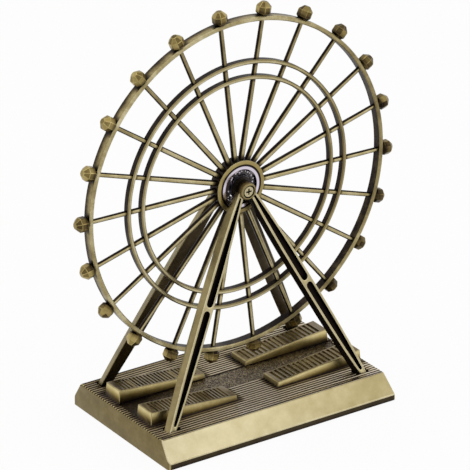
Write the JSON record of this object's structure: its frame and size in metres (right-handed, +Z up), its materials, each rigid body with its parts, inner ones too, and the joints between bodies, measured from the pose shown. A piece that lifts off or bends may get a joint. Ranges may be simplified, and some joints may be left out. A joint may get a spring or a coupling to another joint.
{
  "type": "ferris wheel",
  "caption": "Desk model of an observation wheel: a spoked wheel with round capsules turns by hand on a ball bearing between two leaning A-frames on a ribbed base.",
  "frame": {"origin": "centre of the base's underside, on the plane the part stands on", "axes": "+Z up, +X along the wheel's plane to the right, -Y to the front"},
  "size_m": [0.1332, 0.0606, 0.1506],
  "materials": {
    "cast_brass": "satin",
    "plated_brass": "satin",
    "polished_steel": "gloss",
    "dark_steel": "satin",
    "screw_steel": "satin",
    "cage_plastic": "matte",
    "pad_felt": "matte"
  },
  "bodies": {
    "stand": {"base": "cast_brass", "base_pad": "pad_felt", "front_frame": "cast_brass", "rear_frame": "cast_brass", "frame_screws": "screw_steel", "axle": "polished_steel", "axle_screws": "screw_steel", "front_spacer": "screw_steel", "rear_spacer": "screw_steel", "bearing_inner_race": "dark_steel"},
    "wheel": {"bearing_outer_race": "polished_steel", "hub": "cast_brass", "spokes": "plated_brass", "inner_ring": "plated_brass", "middle_ring": "plated_brass", "outer_rim": "plated_brass", "capsules": "plated_brass"},
    "cage": {"bearing_cage": "cage_plastic", "bearing_balls": "polished_steel"}
  },
  "joints": [
    {"name": "wheel_spin", "type": "hinge", "parent": "stand", "child": "wheel", "pos_m": [0, 0, 0.0845], "axis": [0, 1, 0], "continuous": true},
    {"name": "cage_spin", "type": "hinge", "parent": "stand", "child": "cage", "pos_m": [0, 0, 0.0845], "axis": [0, 1, 0], "continuous": true}
  ],
  "couplings": [
    {"joint": "cage_spin", "follows": "wheel_spin", "ratio": 0.63238}
  ]
}
